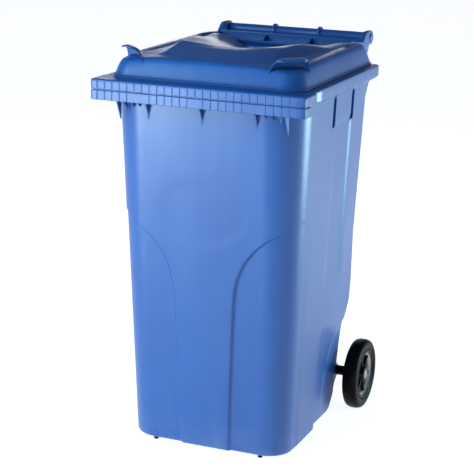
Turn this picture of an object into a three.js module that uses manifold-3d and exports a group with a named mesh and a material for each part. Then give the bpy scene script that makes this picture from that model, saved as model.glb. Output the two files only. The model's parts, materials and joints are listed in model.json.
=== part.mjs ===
// A two-wheeled refuse bin of 240 litres: one moulded container on two wheels, with a hinged lid.
// Millimetres, +Z up, +Y to the rear. Inside this file y is measured from the front face of the rim
// comb and z from the ground; the whole group is moved at the end so that the origin lies on the
// ground in the middle of the bin.
import * as THREE from "three";
import { mergeVertices } from "three/addons/utils/BufferGeometryUtils.js";
import Module from "manifold-3d";

const wasm = await Module();
wasm.setup();

// ---- Overall sizes ----
const RIM_HALF_WIDTH = 291; // half the width over the comb
const RIM_TOP = 992; // height of the mouth
const RIM_DEPTH = 608; // front face of the comb to the rear face of the rim
const BASE_Z = 8; // underside of the floor
const GAP = 0.3; // between pieces that touch
const RUNNING_GAP = 0.3; // round a shaft that turns

// ---- Container ----
const SKIN = 4.5;
const COMB_PROUD = 5; // the comb stands out past the side rim by this
const SIDE_RIM_HALF = RIM_HALF_WIDTH - COMB_PROUD;
const RIM_OVERHANG = 25; // side rim past the wall below it
const SIDE_RIM_HEIGHT = 27;
const FLARE_HEIGHT = 17; // the slope from the wall out to the side rim
const WALL_TOP = RIM_TOP - SIDE_RIM_HEIGHT - FLARE_HEIGHT;
const SIDE_DRAFT = 0.0384; // inward lean of each side for each millimetre down
const FRONT_DRAFT = 0.05;
const REAR_DRAFT = 0.042;
const COMB_DEPTH = 43; // front face of the comb to the wall behind it
const COMB_HEIGHT = 52.7;
const COMB_PLATE = 5;
const COMB_CORNER = 7;
const COMB_RETURN = 72; // how far the comb runs back along each side
const COMB_RETURN_FLAT = 34; // the part of that at full height
const BAND_GROOVE = 4;
const BAND_GROOVE_DEPTH = 3.2;
const TEETH = 28;
const TOOTH_GROOVE = 2.4;
const TOOTH_GROOVE_DEPTH = 1;
// The plain pads of the lower band, one in the middle and one each side.
const PAD_SPACING = RIM_HALF_WIDTH * 0.5086;
const PAD_HALF = 20;
const FRONT_CORNER_TOP = 95;
const FRONT_CORNER_BASE = 70;
const REAR_CORNER = 25;
const RECESS = 7; // the lower front corners lie this far behind the middle panel
const RECESS_TOP = RIM_TOP - 337;
const CHANNEL_DEPTH = 5; // the upright channel in each side
const CHANNEL_FRONT = RIM_DEPTH - 293;
const CHANNEL_SLOPE = 30;
const CHANNEL_REAR = RIM_DEPTH - 153;
const CHANNEL_TOP = WALL_TOP - 68;
const CHANNEL_BOTTOM = 400;
const HAUNCH_Z = 311; // below this the rear draws in for the wheels
const HAUNCH_STEP = 22;
const HAUNCH_NARROW = 12; // each side draws in by this at the base, behind the channel's front edge
const RIM_POCKET_WALL = 5.5; // wall left beside the pockets under the side rim
const RIM_POCKETS = 5;
const RIM_RIB = 5;
const SLOT_WIDTH = 21;
const SLOT_DEPTH = 11;
const SLOT_LOW = WALL_TOP - 85;
const SLOT_HIGH = WALL_TOP - 2;
const SLOT_Y = [RIM_DEPTH - 303, RIM_DEPTH - 157];

// ---- Handle bar, brackets and hinge ----
const BAR_Y = RIM_DEPTH + 106;
const BAR_Z = RIM_TOP + 55.5;
const BAR_R = 14;
const BAR_HALF = RIM_HALF_WIDTH - 85;
const LUG_R = 20;
const RING_R = 20;
const BRACKET_THICK = 10;
const RING_X = BAR_HALF - 138;
const END_BRACKET_X = BAR_HALF - 8;
const PIN_R = 8;
const PIN_DEPTH = 24; // length of pin inside the bar
const PIN_HEAD_R = 12;
const PIN_HEAD = 2.5;
const ARM_THICK = 13;
const SIDE_PLAY = 1.5; // between the bar end and the arm

// ---- Lid ----
const LID_SKIN = 3.5;
const LID_HALF = RIM_HALF_WIDTH - 27;
const LID_FRONT = 42;
const LID_REAR = RIM_DEPTH + 7;
const LID_FRONT_CORNER = 52;
const LID_REAR_CORNER = 36;
const LID_CORNER_DROP = 8; // the front corners lie this far below the shoulder
// The skirt and shoulder: [distance in from the lid's edge, height above the rim].
const SKIRT = [
  [0, 5], [3, 7.5], [8, 22.5], [12, 33.5], [19, 49], [24, 53.4], [30, 54.8], [45, 55.7], [58, 56],
];
const PANEL_RISE = 24; // raised panel above the shoulder
const PATTERN_HALF = 264; // half width of the lid on which the panel's sideways places are given
// Front edge of the raised panel: [distance from the middle, y].
const PANEL_TOE = [[0, 60], [50, 68], [100, 90], [150, 116], [172, 150], [190, 205]];
const RIDGE_Y = 222; // front ridge of the panel
const RIDGE_DIP = 7; // the ridge sags by this in the middle
const VALLEY_DROP = 48; // the middle of the panel falls by this towards the rear
const LEAST_RISE = 22; // the valley stays this far above the rim
const WEB_END = 44; // the rear web of the lid ends this far behind the rim
const WEB_TOP = 56; // height of its upstand above the rim
const WEB_THICK = 4;
const GRIP_WIDTH = 92;
const GRIP_INSET = 58; // place of each finger grip, in from the side and from the front of the lid
const GRIP_RISE = 35;

// ---- Running gear ----
const WHEEL_R = 100;
const TYRE_WIDTH = 44;
const TYRE_THICK = 30;
const WHEEL_FACETS = 32; // round the tyre and the hub alike, so that their faces stay level with each other
const AXLE_Y = RIM_DEPTH - 25;
const AXLE_R = 10;
const HUB_WIDTH = 40;
const HUB_BOSS_R = 24;
const HUB_WEB = 8;
const HUB_RING = 7;
const SLEEVE_R = 14;
const WASHER_R = 18;
const WASHER_THICK = 2.5;
const CLIP_R = 12.4;
const CLIP_THICK = 2;
const CAP_R = 12.7;
const CAP_THICK = 6;
const AXLE_BOSS_R = 17;
const AXLE_PLATE = 5;
const AXLE_BOSS_INNER_X = RIM_HALF_WIDTH - 129;
const AXLE_BOSS_OUTER_X = RIM_HALF_WIDTH - 91;

// ---- Feet ----
const FOOT_R = 6.5;
const FOOT_STEM_R = 4;
const FOOT_STEM = 5; // length of stem above the floor's underside
const FEET = { front: [RIM_HALF_WIDTH - 139, 113], side: [RIM_HALF_WIDTH - 88, 192] };

// ---- Materials ----
const plastic = (color, roughness) =>
  new THREE.MeshStandardMaterial({ color, roughness, metalness: 0 });
const blue = plastic(0x2b55a6, 0.42);
const black = plastic(0x121315, 0.5);
const tyreRubber = plastic(0x151516, 0.85);
const grey = plastic(0x8a8d90, 0.45);
const steel = new THREE.MeshStandardMaterial({ color: 0xb4b7ba, roughness: 0.35, metalness: 1 });

// ---- Solids ----
function solidOf(geometry) {
  const bare = geometry.index ? geometry.toNonIndexed() : geometry.clone();
  bare.deleteAttribute("normal");
  bare.deleteAttribute("uv");
  const merged = mergeVertices(bare, 1e-4);
  const vertProperties = merged.attributes.position.array;
  const triVerts = new Uint32Array(merged.index.array);
  return new wasm.Manifold(new wasm.Mesh({ numProp: 3, vertProperties, triVerts }));
}

function meshOf(name, solid, material) {
  const data = solid.getMesh();
  const geometry = new THREE.BufferGeometry();
  geometry.setAttribute("position", new THREE.BufferAttribute(data.vertProperties, 3));
  geometry.setIndex(new THREE.BufferAttribute(data.triVerts, 1));
  geometry.computeVertexNormals();
  const mesh = new THREE.Mesh(geometry, material);
  mesh.name = name;
  return mesh;
}

const X = new THREE.Vector3(1, 0, 0);
const Y = new THREE.Vector3(0, 1, 0);
const Z = new THREE.Vector3(0, 0, 1);

function extrude(points, depth) {
  const shape = new THREE.Shape(points.map(([u, v]) => new THREE.Vector2(u, v)));
  return new THREE.ExtrudeGeometry(shape, { depth, bevelEnabled: false });
}

// A prism along X from an outline of [y, z] points.
function prismX(points, x0, x1) {
  const turned = new THREE.Matrix4().makeBasis(Y, Z, X).setPosition(x0, 0, 0);
  return solidOf(extrude(points, x1 - x0).applyMatrix4(turned));
}

// A prism along Z from an outline of [x, y] points.
function prismZ(points, z0, z1) {
  return solidOf(extrude(points, z1 - z0).translate(0, 0, z0));
}

function box(x0, x1, y0, y1, z0, z1) {
  const geometry = new THREE.BoxGeometry(x1 - x0, y1 - y0, z1 - z0);
  return solidOf(geometry.translate((x0 + x1) / 2, (y0 + y1) / 2, (z0 + z1) / 2));
}

function cylinderX(radius, x0, x1, y, z, segments = 20) {
  const geometry = new THREE.CylinderGeometry(radius, radius, x1 - x0, segments);
  return solidOf(geometry.rotateZ(-Math.PI / 2).translate((x0 + x1) / 2, y, z));
}

// A turned piece about the line along X through (y, z), from a profile of [radius, x] points.
function turnedX(profile, y, z, segments = 32) {
  const points = profile.map(([radius, x]) => new THREE.Vector2(radius, x));
  const geometry = new THREE.LatheGeometry([...points, points[0]], segments);
  return solidOf(geometry.rotateZ(-Math.PI / 2).translate(0, y, z));
}

const union = (solids) => solids.reduce((sum, solid) => sum.add(solid));
const cut = (solid, tools) => tools.reduce((left, tool) => left.subtract(tool), solid);
const mirrorX = (solid) => solid.mirror([1, 0, 0]);
const lerp = (a, b, t) => a + (b - a) * t;
const ramp = (value, from, to) => THREE.MathUtils.clamp((value - from) / (to - from), 0, 1);
const smooth = (value, from, to) => THREE.MathUtils.smoothstep(value, from, to);

// A straight-line profile through [at, value] pairs.
function along(pairs, at) {
  const next = pairs.findIndex(([p]) => p >= at);
  if (next === 0) return pairs[0][1];
  if (next < 0) return pairs[pairs.length - 1][1];
  const [p0, v0] = pairs[next - 1];
  const [p1, v1] = pairs[next];
  return lerp(v0, v1, (at - p0) / (p1 - p0));
}

function arc(cx, cy, radius, from, to, steps) {
  return Array.from({ length: steps + 1 }, (_, i) => {
    const angle = THREE.MathUtils.degToRad(lerp(from, to, i / steps));
    return [cx + radius * Math.cos(angle), cy + radius * Math.sin(angle)];
  });
}

// A closed body through rings of points, each ring counter-clockwise seen from above, low ring first.
function loft(rings) {
  const count = rings[0].length;
  const positions = rings.flat(2);
  const index = [];
  for (let level = 0; level < rings.length - 1; level += 1) {
    for (let i = 0; i < count; i += 1) {
      const j = (i + 1) % count;
      const low = level * count;
      const high = low + count;
      index.push(low + i, low + j, high + j, low + i, high + j, high + i);
    }
  }
  const top = (rings.length - 1) * count;
  const centre = (ring) => [0, 1, 2].map((axis) => ring.reduce((sum, p) => sum + p[axis], 0) / count);
  positions.push(...centre(rings[0]), ...centre(rings[rings.length - 1]));
  const lowCentre = rings.length * count;
  for (let i = 0; i < count; i += 1) {
    const j = (i + 1) % count;
    index.push(lowCentre, j, i, lowCentre + 1, top + i, top + j);
  }
  const geometry = new THREE.BufferGeometry();
  geometry.setAttribute("position", new THREE.Float32BufferAttribute(positions, 3));
  geometry.setIndex(index);
  return solidOf(geometry);
}

// ---- Container walls ----
const LEAST_STEP = 2; // between neighbouring levels, and between neighbouring places along a side
const plainHalf = (z) => SIDE_RIM_HALF - RIM_OVERHANG - (WALL_TOP - z) * SIDE_DRAFT;
const wallHalf = (z) => lerp(
  plainHalf(Math.min(z, WALL_TOP)), SIDE_RIM_HALF, ramp(z, WALL_TOP, WALL_TOP + FLARE_HEIGHT),
);
const wallFront = (z) => COMB_DEPTH + (WALL_TOP - Math.min(z, WALL_TOP)) * FRONT_DRAFT;
const wallRearPlain = (z) => RIM_DEPTH - 3 - (WALL_TOP - Math.min(z, WALL_TOP)) * REAR_DRAFT
  + 3 * ramp(z, WALL_TOP, WALL_TOP + FLARE_HEIGHT);
const heel = (z) => along([[BASE_Z, 68], [15, 50], [27, 31], [52, 5], [80, 0]], z);
const haunch = (z) => HAUNCH_STEP * along([[-110, 1], [-20, 0.55], [0, 0.35], [18, 0]], z - HAUNCH_Z);
const wallRear = (z) => wallRearPlain(z) - haunch(z) - heel(z);
const frontCorner = (z) => lerp(FRONT_CORNER_BASE, FRONT_CORNER_TOP, z / RIM_TOP);
// Half the width of the middle panel of the front, a funnel that opens upwards to the corners.
const panelHalf = (z) => along(
  [[0, 65], [200, 70], [370, 78], [455, 84], [502, 92], [541, 110], [577, 138], [602, 165], [620, 190]],
  z - (RECESS_TOP - 655),
);
const recessDepth = (z) => RECESS * (1 - ramp(z, RECESS_TOP - 30, RECESS_TOP));
const channelDepth = (z) => CHANNEL_DEPTH * ramp(z, CHANNEL_BOTTOM, CHANNEL_BOTTOM + 90)
  * (1 - ramp(z, CHANNEL_TOP - 20, CHANNEL_TOP));
const haunchNarrow = (z) => HAUNCH_NARROW * lerp(1, 0.45, ramp(z, 0, HAUNCH_Z))
  * (1 - smooth(z, HAUNCH_Z - 60, HAUNCH_Z + 10));

// The right half of the plan outline at height z, from the middle of the front round to the rear.
function halfOutline(z, inset, halfAt) {
  const half = halfAt(z) - inset;
  const front = wallFront(z) + inset;
  const rear = wallRear(z) - inset;
  const corner = frontCorner(z) - inset / 2;
  const rearCorner = REAR_CORNER - inset / 2;
  const sunk = recessDepth(z);
  const panel = Math.min(panelHalf(z), half - corner - 8);
  const points = [[0, front], [panel / 2, front], [panel, front], [panel + 6, front + sunk]];
  for (const [x, y] of arc(half - corner, front + corner, corner, -90, 0, 5)) {
    const facing = Math.max(0, (front + corner - y) / corner);
    points.push([x - sunk * 0.7 * (1 - facing), y + sunk * facing]);
  }
  const channel = channelDepth(z);
  const narrow = haunchNarrow(z);
  const sides = [
    [CHANNEL_FRONT - 60, 0],
    [CHANNEL_FRONT, 0],
    [CHANNEL_FRONT + CHANNEL_SLOPE, Math.max(channel, narrow * 0.6)],
    [CHANNEL_REAR - 10, Math.max(channel, narrow)],
    [CHANNEL_REAR, narrow],
  ];
  const first = front + corner;
  const last = rear - rearCorner;
  sides.forEach(([y, sink], i) => {
    const low = first + (i + 1) * LEAST_STEP;
    const high = last - (sides.length - i) * LEAST_STEP;
    points.push([half - sink, THREE.MathUtils.clamp(y, low, high)]);
  });
  points.push(...arc(half - narrow - rearCorner, last, rearCorner, 0, 90, 3));
  points.push([0, rear]);
  return points;
}

function outline(z, inset, halfAt) {
  const right = halfOutline(z, inset, halfAt);
  const left = right.slice(1, -1).map(([x, y]) => [-x, y]).reverse();
  return [...right, ...left];
}
const ringAt = (z, inset = 0, halfAt = wallHalf) => outline(z, inset, halfAt).map(([x, y]) => [x, y, z]);

const wallLevels = [
  27, 52, 80, 200, HAUNCH_Z - 60, HAUNCH_Z - 20, HAUNCH_Z, HAUNCH_Z + 18, CHANNEL_BOTTOM, CHANNEL_BOTTOM + 80,
  RECESS_TOP - 114, RECESS_TOP - 78, RECESS_TOP - 30, RECESS_TOP, CHANNEL_TOP - 20, CHANNEL_TOP, WALL_TOP,
  WALL_TOP + FLARE_HEIGHT, RIM_TOP,
].sort((a, b) => a - b).filter((z, i, all) => i === 0 || z - all[i - 1] >= LEAST_STEP);

function outerBody() {
  const low = [[BASE_Z, 12], [BASE_Z + 3, 5], [BASE_Z + 9, 0]];
  return loft([...low.map(([z, inset]) => ringAt(z, inset)), ...wallLevels.map((z) => ringAt(z))]);
}

function innerSpace() {
  const floor = BASE_Z + SKIN;
  const low = [[floor, SKIN + 9], [floor + 6, SKIN]];
  const above = ringAt(RIM_TOP, SKIN, plainHalf).map(([x, y]) => [x, y, RIM_TOP + 20]);
  const levels = wallLevels.filter((z) => z > floor + 7);
  return loft([
    ...low.map(([z, inset]) => ringAt(z, inset, plainHalf)),
    ...levels.map((z) => ringAt(z, SKIN, plainHalf)), above,
  ]);
}

// The hollows under the side rim, with a rib left between each two.
function rimPockets() {
  const from = COMB_RETURN + 40;
  const pitch = (RIM_DEPTH - 30 - from) / RIM_POCKETS;
  const inner = plainHalf(RIM_TOP) - SKIN + RIM_POCKET_WALL;
  const pockets = Array.from({ length: RIM_POCKETS }, (_, i) => {
    const start = from + i * pitch;
    return box(inner, SIDE_RIM_HALF - SKIN, start, start + pitch - RIM_RIB, WALL_TOP - 5, RIM_TOP - SKIN);
  });
  return pockets.flatMap((pocket) => [pocket, mirrorX(pocket)]);
}

// ---- Rim comb ----
const combLow = RIM_TOP - COMB_HEIGHT;

// A strip that follows the front of the rim and turns back along both sides.
function combStrip(outside, thickness, back, z0, z1) {
  const edge = (inset) => {
    const half = RIM_HALF_WIDTH - outside - inset;
    const radius = Math.max(COMB_CORNER - inset, 2);
    const front = outside + inset;
    const right = [...arc(half - radius, front + radius, radius, -90, 0, 4), [half, back]];
    return [...right.map(([x, y]) => [-x, y]).reverse(), ...right];
  };
  return prismZ([...edge(0), ...edge(thickness).reverse()], z0, z1);
}

function combTop() {
  const half = SIDE_RIM_HALF;
  const points = [
    [-half, COMB_RETURN + 60], ...arc(-half + COMB_CORNER, COMB_CORNER, COMB_CORNER, 180, 270, 4),
    ...arc(half - COMB_CORNER, COMB_CORNER, COMB_CORNER, -90, 0, 4), [half, COMB_RETURN + 60],
  ];
  return prismZ(points, RIM_TOP - SKIN, RIM_TOP);
}

// Gusset plates behind and below the comb: [x, lowest z].
function combRibs() {
  const plates = [
    [0, 99], [PAD_SPACING, 99], [RIM_HALF_WIDTH - 120, 72], [RIM_HALF_WIDTH - 101, 74],
    [RIM_HALF_WIDTH - 81, 80], [RIM_HALF_WIDTH - 63, 107],
  ];
  return plates.flatMap(([x, drop]) => {
    const low = RIM_TOP - drop;
    const plate = prismX(
      [
        [COMB_PLATE - 1, RIM_TOP - 1], [COMB_PLATE - 1, combLow + 6], [COMB_PLATE + 12, combLow - 1],
        [wallFront(low) + 14, low], [wallFront(RIM_TOP) + 14, RIM_TOP - 1],
      ],
      x - 2, x + 2,
    );
    return x ? [plate, mirrorX(plate)] : [plate];
  });
}

function combGrooves() {
  const middle = RIM_TOP - COMB_HEIGHT / 2;
  const low = middle - BAND_GROOVE / 2;
  const high = middle + BAND_GROOVE / 2;
  const grooves = [combStrip(0, BAND_GROOVE_DEPTH, COMB_RETURN_FLAT, low, high)];
  const pitch = (2 * RIM_HALF_WIDTH) / TEETH;
  for (let i = 1; i < TEETH; i += 1) {
    const x = i * pitch - RIM_HALF_WIDTH;
    const inPad = [-PAD_SPACING, 0, PAD_SPACING].some((pad) => Math.abs(x - pad) < PAD_HALF);
    const bottom = inPad ? high : combLow - 1;
    grooves.push(
      box(x - TOOTH_GROOVE / 2, x + TOOTH_GROOVE / 2, -1, TOOTH_GROOVE_DEPTH, bottom, RIM_TOP - 2),
    );
  }
  return grooves;
}

function combReturnCut() {
  const lift = WALL_TOP + FLARE_HEIGHT - combLow;
  const curve = arc(COMB_RETURN_FLAT, combLow + lift, lift, -90, -20, 5);
  const points = [[COMB_RETURN_FLAT, combLow - 1], [COMB_RETURN + 40, combLow - 1]];
  points.push([COMB_RETURN + 40, combLow + lift], ...curve.reverse());
  return prismX(points, SIDE_RIM_HALF - RIM_OVERHANG - 10, RIM_HALF_WIDTH + 1);
}

function comb() {
  const returnCut = combReturnCut();
  const strip = combStrip(0, COMB_PLATE, COMB_RETURN, combLow, RIM_TOP);
  const cutStrip = cut(strip, [returnCut, mirrorX(returnCut), ...combGrooves()]);
  return union([cutStrip, combTop(), ...combRibs()]);
}

// ---- Side slots ----
function slotOutline(y, grow) {
  const r = SLOT_WIDTH / 2 + grow;
  return [
    ...arc(y, SLOT_HIGH - SLOT_WIDTH / 2, r, 0, 180, 6), ...arc(y, SLOT_LOW + SLOT_WIDTH / 2, r, 180, 360, 6),
  ];
}
function slotPocket(y, grow) {
  const deepest = wallHalf(SLOT_LOW) - SLOT_DEPTH;
  const outside = grow ? wallHalf(SLOT_LOW) - SKIN / 2 : wallHalf(SLOT_HIGH) + 5;
  return prismX(slotOutline(y, grow), deepest - grow, outside);
}

// ---- Handle bar and brackets ----
function bracket(x) {
  const root = wallRear(RIM_TOP) - 10;
  const points = [
    [root, RIM_TOP - 9], [BAR_Y - 74, RIM_TOP - 9], [BAR_Y - 20, RIM_TOP + 8],
    [BAR_Y - 12, BAR_Z - 4], [BAR_Y + 12, BAR_Z - 4], [BAR_Y + 7, RIM_TOP + 23], [BAR_Y - 5, RIM_TOP + 4],
    [BAR_Y - 9, RIM_TOP - 20], [BAR_Y - 22, RIM_TOP - 47], [BAR_Y - 74, RIM_TOP - 112], [root, RIM_TOP - 140],
  ];
  return prismX(points, x - BRACKET_THICK / 2, x + BRACKET_THICK / 2);
}

function handle() {
  const bar = cylinderX(BAR_R, -BAR_HALF, BAR_HALF, BAR_Y, BAR_Z, 20);
  const half = BRACKET_THICK / 2 - 0.5;
  const ring = cylinderX(RING_R, RING_X - half, RING_X + half, BAR_Y, BAR_Z, 20);
  const sides = [ring, bracket(RING_X), bracket(END_BRACKET_X)];
  return union([bar, ...sides, ...sides.map(mirrorX)]);
}

function pinBore() {
  return cylinderX(PIN_R + GAP, BAR_HALF - PIN_DEPTH - 1, BAR_HALF + 1, BAR_Y, BAR_Z, 16);
}

// ---- Axle carriers ----
function axleCarrier() {
  const wall = wallRear(WHEEL_R) - 12;
  const reach = AXLE_BOSS_R;
  const points = [
    [wall, WHEEL_R + 52], ...arc(AXLE_Y, WHEEL_R, reach, 60, -60, 8), [wall, WHEEL_R - 52],
  ];
  const plates = [AXLE_BOSS_INNER_X, AXLE_BOSS_OUTER_X - AXLE_PLATE];
  return union([
    cylinderX(AXLE_BOSS_R, AXLE_BOSS_INNER_X, AXLE_BOSS_OUTER_X, AXLE_Y, WHEEL_R),
    ...plates.map((x) => prismX([...points].reverse(), x, x + AXLE_PLATE)),
  ]);
}

function container() {
  const carrier = axleCarrier();
  const outside = union([outerBody(), comb(), handle(), carrier, mirrorX(carrier)]);
  const pockets = SLOT_Y.flatMap((y) => [slotPocket(y, SKIN), mirrorX(slotPocket(y, SKIN))]);
  const slots = SLOT_Y.flatMap((y) => [slotPocket(y, 0), mirrorX(slotPocket(y, 0))]);
  const bore = pinBore();
  const reach = AXLE_BOSS_OUTER_X + 1;
  const axleBore = cylinderX(AXLE_R + GAP, -reach, reach, AXLE_Y, WHEEL_R);
  const stemHoles = feetPlaces().map(([, x, y]) => footHole(x, y));
  const walls = union([cut(outside, [innerSpace()]), ...pockets]);
  return cut(walls, [...slots, ...rimPockets(), bore, mirrorX(bore), axleBore, ...stemHoles]);
}

// ---- Feet ----
function feetPlaces() {
  return Object.entries(FEET).flatMap(([place, [x, y]]) => [
    [`foot_${place}_left`, -x, y],
    [`foot_${place}_right`, x, y],
  ]);
}

function turnedZ(profile, x, y, segments) {
  const points = profile.map(([radius, z]) => new THREE.Vector2(radius, z));
  const geometry = new THREE.LatheGeometry(points, segments);
  return solidOf(geometry.rotateX(Math.PI / 2).translate(x, y, 0));
}

function foot(x, y) {
  const top = BASE_Z - GAP;
  const stemTop = BASE_Z + FOOT_STEM;
  const profile = [
    [0, 0], [FOOT_R - 1.5, 0], [FOOT_R, 1.5], [FOOT_R, top], [FOOT_STEM_R, top], [FOOT_STEM_R, stemTop],
    [0, stemTop],
  ];
  return turnedZ(profile, x, y, 8);
}

function footHole(x, y) {
  const radius = FOOT_STEM_R + GAP;
  return turnedZ([[0, 0], [radius, 0], [radius, BASE_Z + SKIN + 1], [0, BASE_Z + SKIN + 1]], x, y, 8);
}

// ---- Lid ----
function lidOutline(inset) {
  const half = LID_HALF - inset;
  const front = LID_FRONT + inset;
  const rear = LID_REAR - inset;
  const frontCorner = Math.max(LID_FRONT_CORNER - inset * 0.7, 20);
  const rearCorner = Math.max(LID_REAR_CORNER - inset * 0.5, 12);
  const sixths = [0, 1, 2, 3, 4, 5].map((i) => i / 6);
  const across = sixths.map((t) => [t * (half - frontCorner), front]);
  const sides = sixths.slice(1).map((t) => [half, lerp(front + frontCorner, rear - rearCorner, t)]);
  const back = sixths.map((t) => [t * (half - rearCorner), rear]).reverse();
  const right = [
    ...across, ...arc(half - frontCorner, front + frontCorner, frontCorner, -90, 0, 4), ...sides,
    ...arc(half - rearCorner, rear - rearCorner, rearCorner, 0, 90, 3), ...back,
  ];
  return [...right, ...right.slice(1, -1).map(([x, y]) => [-x, y]).reverse()];
}

// Height of the raised panel above the shoulder, side being the distance from the middle.
function panelLift(side, y) {
  const toe = along(PANEL_TOE, side);
  const front = ramp(y, toe, Math.max(RIDGE_Y, toe + 25));
  const far = ramp(y, RIDGE_Y, 420);
  const across = 1 - ramp(side, lerp(143, 165, far), lerp(178, 196, far));
  const away = 1 - smooth(y, 290, 525);
  return PANEL_RISE * front * across * away;
}

// Depth of the valley, which sags in the ridge and runs down the middle towards the hinge.
function valley(side, y) {
  const far = ramp(y, RIDGE_Y, LID_REAR - 10);
  const across = 1 - smooth(side, lerp(10, 60, far), lerp(150, 192, far));
  return lerp(RIDGE_DIP * smooth(y, 130, RIDGE_Y), VALLEY_DROP, far) * across;
}

function lidTop(x, y, inset) {
  const side = Math.abs(x) * (PATTERN_HALF / LID_HALF);
  const corner = smooth(side, 120, 250) * (1 - smooth(y, 60, 210)) * smooth(inset, 6, 24);
  const rise = along(SKIRT, inset) - LID_CORNER_DROP * corner;
  const lift = panelLift(side, y);
  const drop = Math.min(valley(side, y), rise + lift - LEAST_RISE);
  return RIM_TOP + rise + (lift - drop) * smooth(inset, 14, 26);
}

function lidShell() {
  const edge = SKIRT.map(([inset]) => inset);
  const shoulder = edge[edge.length - 1];
  const middle = Math.min(LID_HALF, (LID_REAR - LID_FRONT) / 2) - LID_REAR_CORNER;
  const insets = [...edge, ...[1, 2, 3, 4, 5, 6, 7, 8].map((i) => lerp(shoulder, middle, i / 8))];
  const top = insets.map((inset) => lidOutline(inset).map(([x, y]) => [x, y, lidTop(x, y, inset)]));
  const rim = lidOutline(0).map(([x, y]) => [x, y, RIM_TOP + GAP]);
  const below = insets.map((inset) => {
    return lidOutline(inset + LID_SKIN).map(([x, y]) => [x, y, lidTop(x, y, inset) - LID_SKIN]);
  });
  const rimInside = lidOutline(LID_SKIN).map(([x, y]) => [x, y, RIM_TOP + GAP - 5]);
  return cut(loft([rim, ...top]), [loft([rimInside, ...below])]);
}

// An arm from the lid's surface to the hinge line.
function lidArm() {
  const points = [
    [BAR_Y - 224, RIM_TOP + 44], [BAR_Y - 160, RIM_TOP + 40], [BAR_Y - 110, RIM_TOP + 12],
    [BAR_Y - 60, RIM_TOP + 9], [BAR_Y - 26, RIM_TOP + 15], [BAR_Y - 12, BAR_Z - 16],
    ...arc(BAR_Y, BAR_Z, LUG_R, -90, 92, 10), [BAR_Y - 36, RIM_TOP + 75], [BAR_Y - 48, RIM_TOP + 70],
    [BAR_Y - 60, RIM_TOP + 59], [BAR_Y - 70, RIM_TOP + 51], [BAR_Y - 84, RIM_TOP + 53],
    [BAR_Y - 130, RIM_TOP + 58], [BAR_Y - 190, RIM_TOP + 60], [BAR_Y - 240, RIM_TOP + 50],
  ];
  const inner = BAR_HALF + SIDE_PLAY;
  return prismX(points, inner, inner + ARM_THICK);
}

// The web that closes the lid's rear edge and ends in an upstand in front of the handle bar.
function lidWeb() {
  const end = RIM_DEPTH + WEB_END;
  const front = end - WEB_THICK;
  const points = [
    [LID_REAR - 30, RIM_TOP + 14], [LID_REAR - 3, RIM_TOP + 12], [front, RIM_TOP + 20],
    [end, RIM_TOP + 20], [end, RIM_TOP + WEB_TOP], [front, RIM_TOP + WEB_TOP], [front, RIM_TOP + 26],
    [LID_REAR - 12, RIM_TOP + 20], [LID_REAR - 30, RIM_TOP + 26],
  ];
  const half = BAR_HALF + SIDE_PLAY + 2;
  return prismX(points, -half, half);
}

// A finger grip that rises from the front corner of the lid and curls outwards.
function lidGrip() {
  const blade = [
    [-4, -10], [-0.5, 16], [4.5, 32], [9, 36.5], [14, 38.8], [24, 37.6], [25, 40], [14, 42],
    [7, 39.5], [1.5, 34], [-2, 26], [-4, 16], [-8.5, -10],
  ];
  const shape = extrude(blade, GRIP_WIDTH);
  const turned = new THREE.Matrix4().makeBasis(X, Z, new THREE.Vector3(0, -1, 0));
  shape.applyMatrix4(turned).translate(0, GRIP_WIDTH / 2, 0).rotateZ(-Math.PI / 4);
  return solidOf(shape.translate(LID_HALF - GRIP_INSET, LID_FRONT + GRIP_INSET, RIM_TOP + GRIP_RISE));
}

function lid() {
  const arm = lidArm();
  const grip = lidGrip();
  const whole = union([lidShell(), arm, mirrorX(arm), lidWeb(), grip, mirrorX(grip)]);
  const reach = BAR_HALF + SIDE_PLAY + ARM_THICK + 1;
  const bore = cylinderX(PIN_R + GAP, BAR_HALF, reach, BAR_Y, BAR_Z);
  return cut(whole, [bore, mirrorX(bore)]);
}

// ---- Hinge pins ----
function hingePin() {
  const inner = BAR_HALF - PIN_DEPTH;
  const seat = BAR_HALF + SIDE_PLAY + ARM_THICK + GAP;
  const profile = [
    [0, inner], [PIN_R - 1, inner], [PIN_R, inner + 1], [PIN_R, seat], [PIN_HEAD_R, seat],
    [PIN_HEAD_R, seat + PIN_HEAD - 1], [PIN_HEAD_R - 1, seat + PIN_HEAD], [0, seat + PIN_HEAD],
  ];
  const points = profile.map(([radius, x]) => new THREE.Vector2(radius, x));
  const geometry = new THREE.LatheGeometry(points, 16).rotateZ(-Math.PI / 2);
  return solidOf(geometry.translate(0, BAR_Y, BAR_Z));
}

// ---- Running gear ----
const wheelOuter = RIM_HALF_WIDTH - 1;
const wheelInner = wheelOuter - TYRE_WIDTH;
const hubOuter = (wheelOuter + wheelInner + HUB_WIDTH) / 2;
const hubInner = hubOuter - HUB_WIDTH;
const clipX = hubOuter - CAP_THICK - CLIP_THICK - 4;
const seatR = WHEEL_R - TYRE_THICK;

function axle() {
  return cylinderX(AXLE_R, -clipX - CLIP_THICK - 2, clipX + CLIP_THICK + 2, AXLE_Y, WHEEL_R);
}

function ringX(outer, inner, x0, x1) {
  return turnedX([[inner, x0], [outer, x0], [outer, x1], [inner, x1]], AXLE_Y, WHEEL_R, 16);
}

function spacerSleeve() {
  const end = hubInner - WASHER_THICK - 2 * GAP;
  return ringX(SLEEVE_R, AXLE_R + GAP, AXLE_BOSS_OUTER_X + GAP, end);
}

function washer() {
  return ringX(WASHER_R, AXLE_R + GAP, hubInner - WASHER_THICK - GAP, hubInner - GAP);
}

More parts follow.
